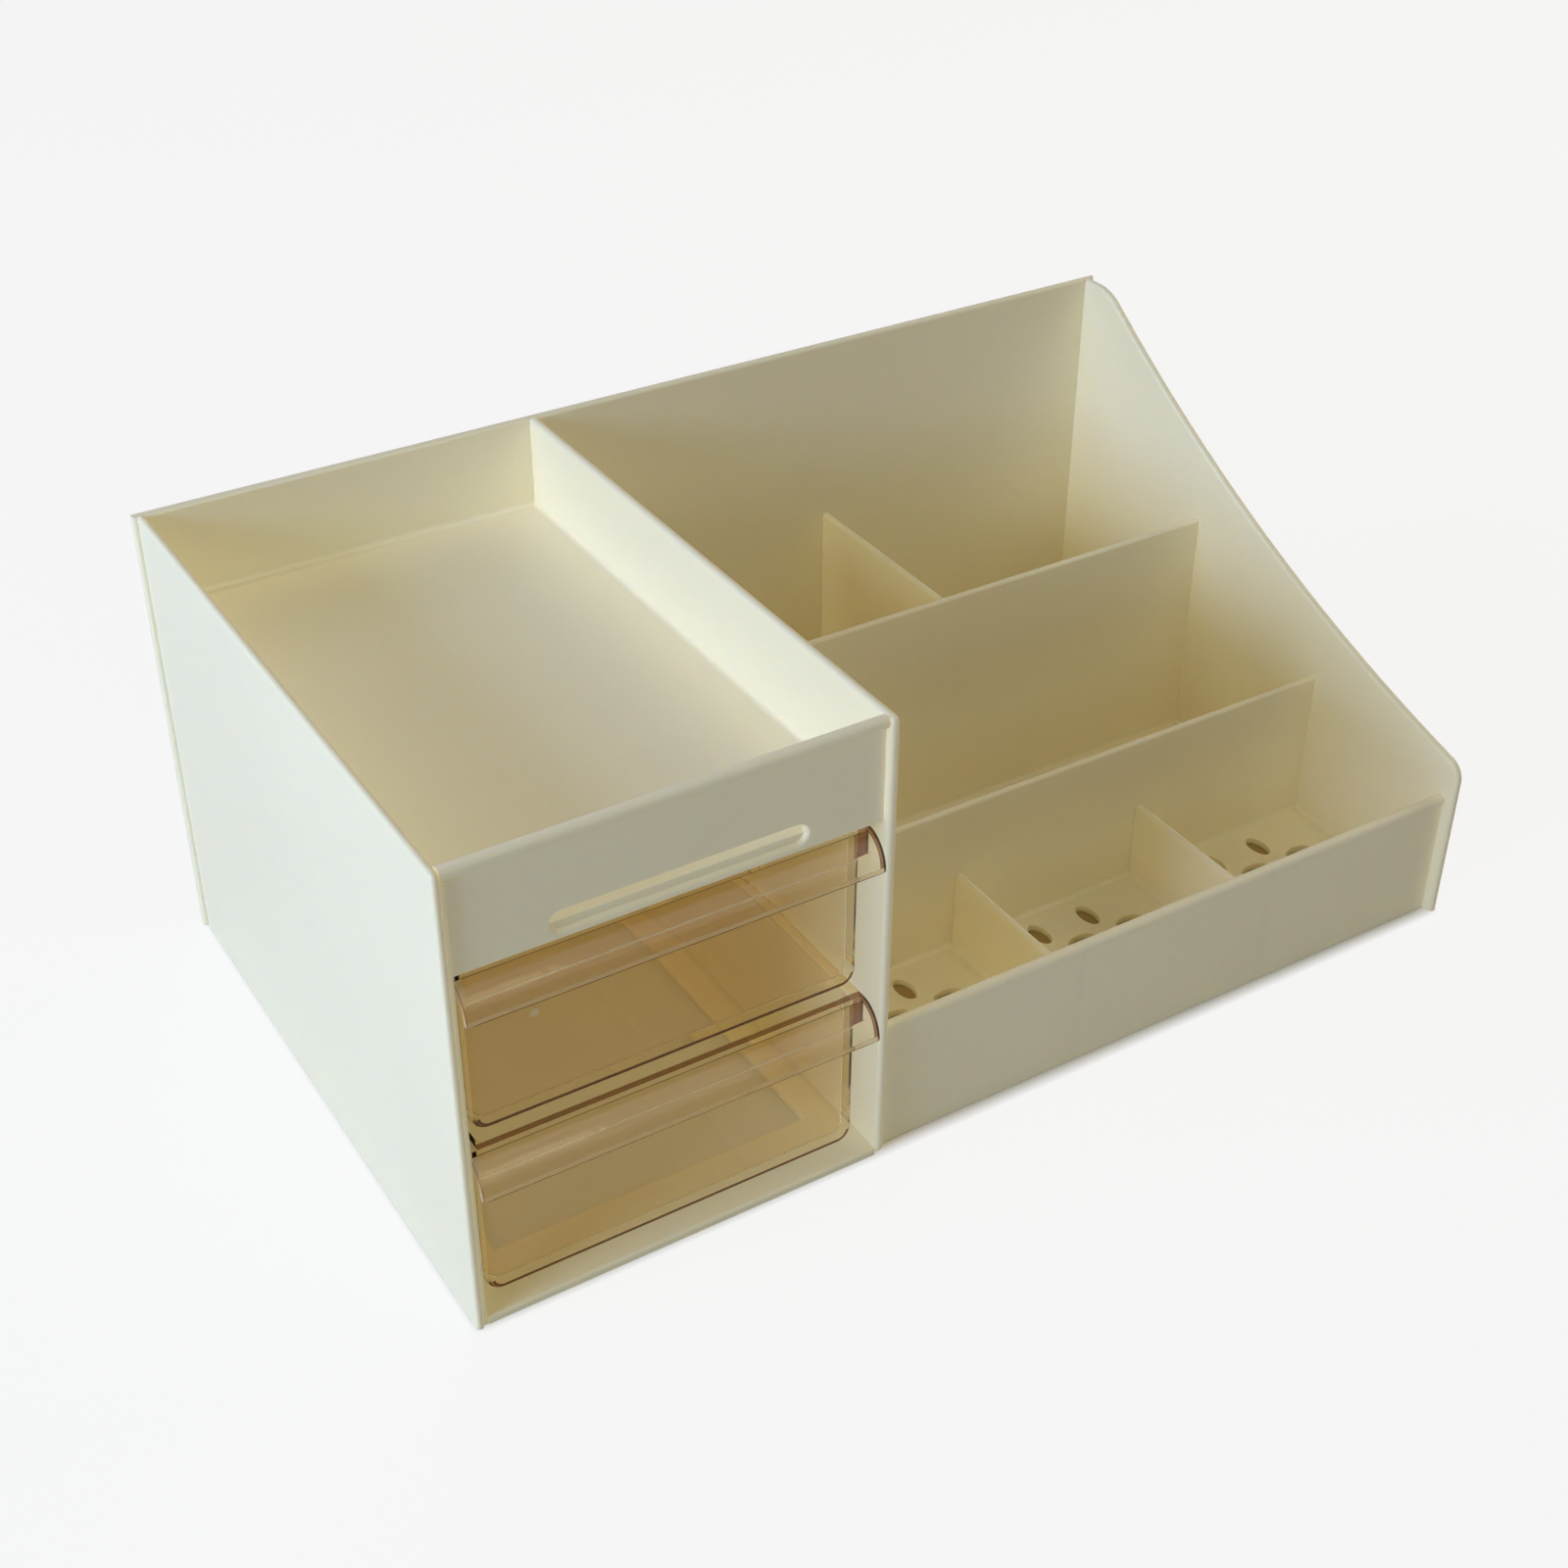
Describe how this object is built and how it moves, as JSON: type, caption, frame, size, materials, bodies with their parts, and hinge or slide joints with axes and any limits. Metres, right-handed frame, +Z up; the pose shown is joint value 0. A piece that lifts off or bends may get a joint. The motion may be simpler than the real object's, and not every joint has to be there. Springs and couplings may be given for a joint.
{
  "type": "countertop cosmetic organizer",
  "caption": "Countertop cosmetic organizer: stacked clear amber drawers under an open tray, beside a stepped, divided open bay with a swept side panel",
  "frame": {"origin": "centre of the footprint, on the surface the organizer stands on", "axes": "+X along the width, from the drawer side to the open bay; +Y from the front to the back; +Z up"},
  "size_m": [0.2984, 0.1762, 0.127],
  "materials": {
    "cream_plastic": "satin",
    "amber_plastic": "clear tinted gloss"
  },
  "bodies": {
    "case": {"left_side_panel": "cream_plastic", "left_bay_liner": "cream_plastic", "middle_partition": "cream_plastic", "right_side_panel": "cream_plastic", "back_panel": "cream_plastic", "bay_floor": "cream_plastic", "tray_floor": "cream_plastic", "fascia": "cream_plastic", "front_panel": "cream_plastic", "front_floor": "cream_plastic", "rear_floor": "cream_plastic", "front_row_left_divider": "cream_plastic", "front_row_right_divider": "cream_plastic", "front_divider": "cream_plastic", "rear_divider": "cream_plastic", "back_row_divider": "cream_plastic", "upper_left_runner": "cream_plastic", "upper_right_runner": "cream_plastic", "lower_left_runner": "cream_plastic", "lower_right_runner": "cream_plastic"},
    "upper_drawer_body": {"upper_drawer": "amber_plastic"},
    "lower_drawer_body": {"lower_drawer": "amber_plastic"}
  },
  "joints": [
    {"name": "upper_drawer_slide", "type": "slide", "parent": "case", "child": "upper_drawer_body", "axis": [0, -1, 0], "range_m": [0, 0.12]},
    {"name": "lower_drawer_slide", "type": "slide", "parent": "case", "child": "lower_drawer_body", "axis": [0, -1, 0], "range_m": [0, 0.12]}
  ]
}
